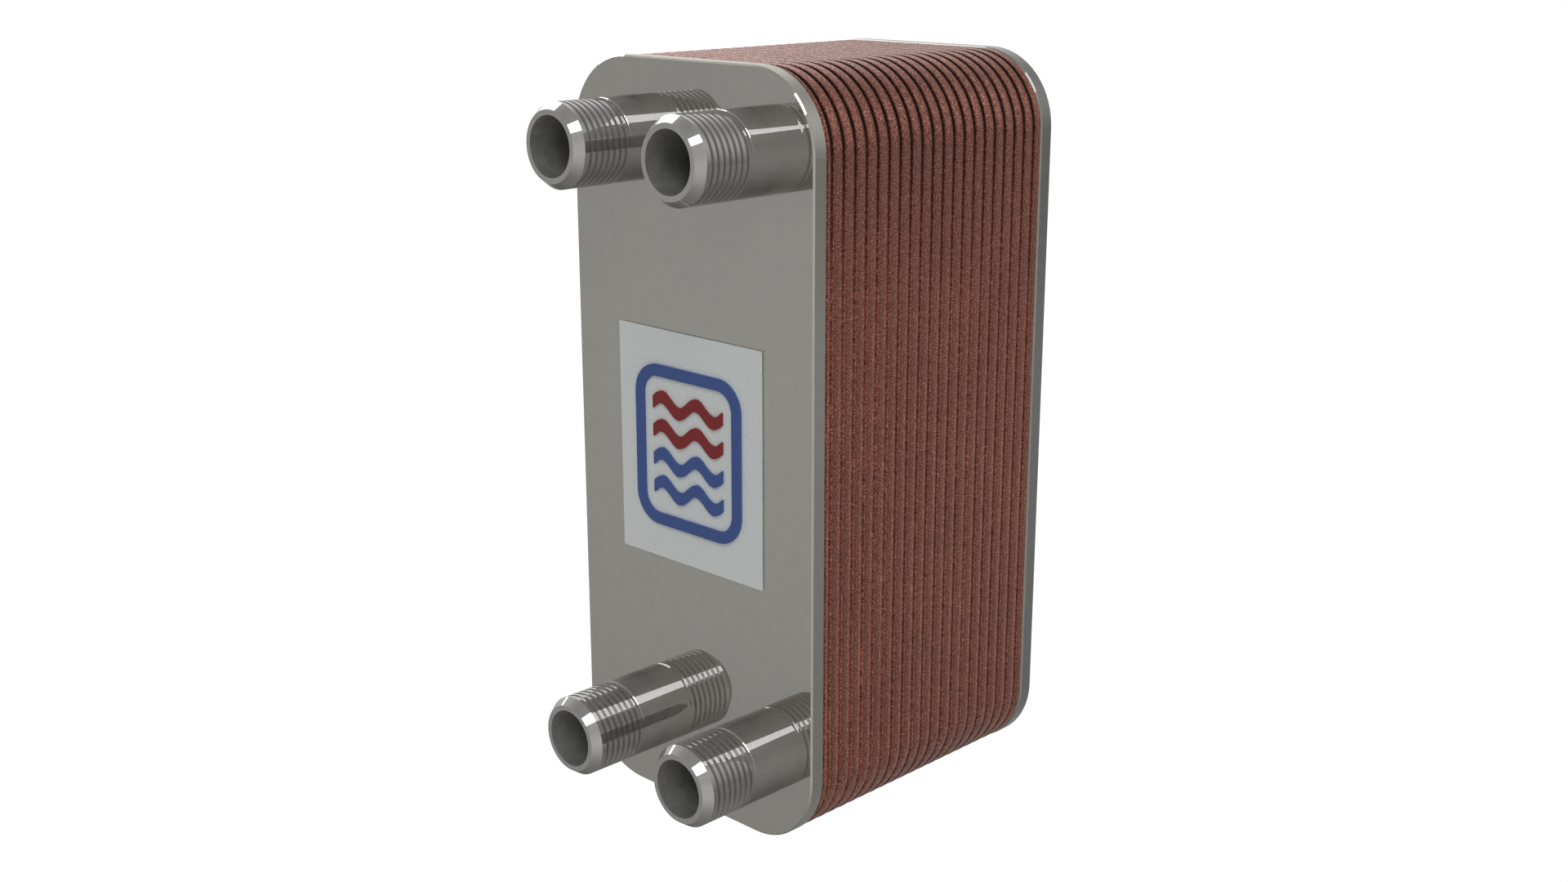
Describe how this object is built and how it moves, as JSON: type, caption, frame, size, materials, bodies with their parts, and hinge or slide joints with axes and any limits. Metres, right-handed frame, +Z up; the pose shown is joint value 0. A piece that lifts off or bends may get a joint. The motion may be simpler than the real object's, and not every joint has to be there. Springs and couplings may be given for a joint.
{
  "type": "plate heat exchanger",
  "caption": "Brazed plate heat exchanger: a stack of corrugated plates between steel covers, with threaded pipe connections on the front, that passes heat between separate fluids.",
  "frame": {"origin": "middle of the bounding box's bottom, where the plates' lower edge stands on the ground", "axes": "+Z up along the plates' height, -Y out of the front with the connections, +X to the right as seen from the front"},
  "size_m": [0.0842, 0.1134, 0.193],
  "materials": {
    "cover_steel": "satin, finely ground",
    "connection_steel": "turned, semi-bright",
    "pack_copper": "grainy copper brazing film on the pressed sheet",
    "brazing_copper": "solidified brazing copper",
    "adhesive_white": "adhesive film",
    "nameplate_grey": "textured",
    "pictogram_blue": "matte",
    "pictogram_red": "matte"
  },
  "bodies": {
    "root": {"front_cover_plate": "cover_steel", "rear_cover_plate": "cover_steel", "front_sealing_plate": "pack_copper", "rear_sealing_plate": "pack_copper", "channel_plate_01": "pack_copper", "channel_plate_02": "pack_copper", "channel_plate_03": "pack_copper", "channel_plate_04": "pack_copper", "channel_plate_05": "pack_copper", "channel_plate_06": "pack_copper", "channel_plate_07": "pack_copper", "channel_plate_08": "pack_copper", "channel_plate_09": "pack_copper", "channel_plate_10": "pack_copper", "channel_plate_11": "pack_copper", "channel_plate_12": "pack_copper", "channel_plate_13": "pack_copper", "channel_plate_14": "pack_copper", "channel_plate_15": "pack_copper", "channel_plate_16": "pack_copper", "channel_plate_17": "pack_copper", "channel_plate_18": "pack_copper", "channel_plate_19": "pack_copper", "channel_plate_20": "pack_copper", "nipple_top_left": "connection_steel", "nipple_top_right": "connection_steel", "nipple_bottom_left": "connection_steel", "nipple_bottom_right": "connection_steel", "nipple_brazing": "brazing_copper", "plate_brazing": "brazing_copper", "nameplate_adhesive": "adhesive_white", "nameplate": "nameplate_grey", "pictogram_frame": "pictogram_blue", "hot_flow_lines": "pictogram_red", "cold_flow_lines": "pictogram_blue"}
  },
  "joints": []
}
